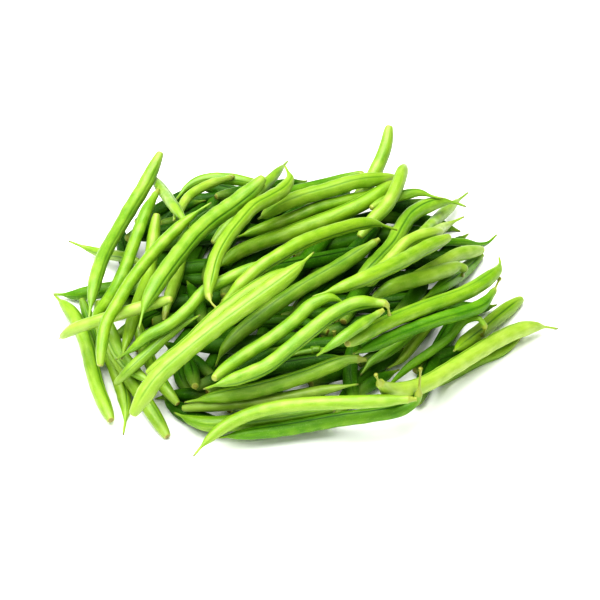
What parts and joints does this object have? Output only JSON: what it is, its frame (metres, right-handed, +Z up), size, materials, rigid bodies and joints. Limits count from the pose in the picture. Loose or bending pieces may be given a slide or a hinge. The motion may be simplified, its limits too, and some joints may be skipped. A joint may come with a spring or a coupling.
{
  "type": "green bean bundle",
  "caption": "Loose heap of fresh green beans piled crosswise, lying on its flat underside, with stem ends and thin tails pointing outward.",
  "frame": {"origin": "middle of the bounding box, on the surface that the heap rests on", "axes": "+X along the heap's length, +Y from its front to its back, +Z up"},
  "size_m": [0.2552, 0.224, 0.0709],
  "materials": {
    "pod_bright": "satin bright green pod skin",
    "pod_pale": "satin pale yellow-green pod skin",
    "pod_deep": "satin deep green pod skin",
    "pod_inner": "satin dark green pod skin"
  },
  "bodies": {
    "root": {"left_pod_1": "pod_deep", "left_pod_2": "pod_deep", "left_pod_3": "pod_bright", "left_pod_4": "pod_bright", "left_pod_5": "pod_bright", "left_pod_6": "pod_bright", "left_pod_7": "pod_bright", "left_pod_8": "pod_bright", "front_pod_1": "pod_bright", "front_pod_2": "pod_pale", "right_pod_1": "pod_bright", "right_pod_2": "pod_bright", "right_pod_3": "pod_pale", "front_pod_3": "pod_bright", "right_pod_4": "pod_deep", "front_pod_4": "pod_bright", "front_pod_5": "pod_pale", "front_pod_6": "pod_deep", "front_pod_7": "pod_bright", "right_pod_5": "pod_deep", "right_pod_6": "pod_deep", "right_pod_7": "pod_pale", "right_pod_8": "pod_bright", "right_pod_9": "pod_pale", "top_pod_1": "pod_bright", "right_pod_10": "pod_bright", "right_pod_11": "pod_pale", "right_pod_12": "pod_bright", "right_pod_13": "pod_deep", "right_pod_14": "pod_bright", "top_pod_2": "pod_bright", "top_pod_3": "pod_bright", "top_pod_4": "pod_bright", "top_pod_5": "pod_bright", "back_pod_1": "pod_deep", "top_pod_6": "pod_bright", "back_pod_2": "pod_bright", "back_pod_3": "pod_bright", "top_pod_7": "pod_pale", "top_pod_8": "pod_bright", "top_pod_9": "pod_bright", "top_pod_10": "pod_bright", "top_pod_11": "pod_bright", "top_pod_12": "pod_pale", "left_pod_9": "pod_bright", "left_pod_10": "pod_bright", "left_pod_11": "pod_bright", "left_pod_12": "pod_bright", "left_pod_13": "pod_pale", "left_pod_14": "pod_bright", "left_pod_15": "pod_pale", "left_pod_16": "pod_bright", "left_pod_17": "pod_bright", "left_pod_18": "pod_bright", "top_pod_13": "pod_pale", "top_pod_14": "pod_bright", "top_pod_15": "pod_bright", "top_pod_16": "pod_bright", "top_pod_17": "pod_pale", "inner_pods": "pod_inner"}
  },
  "joints": []
}
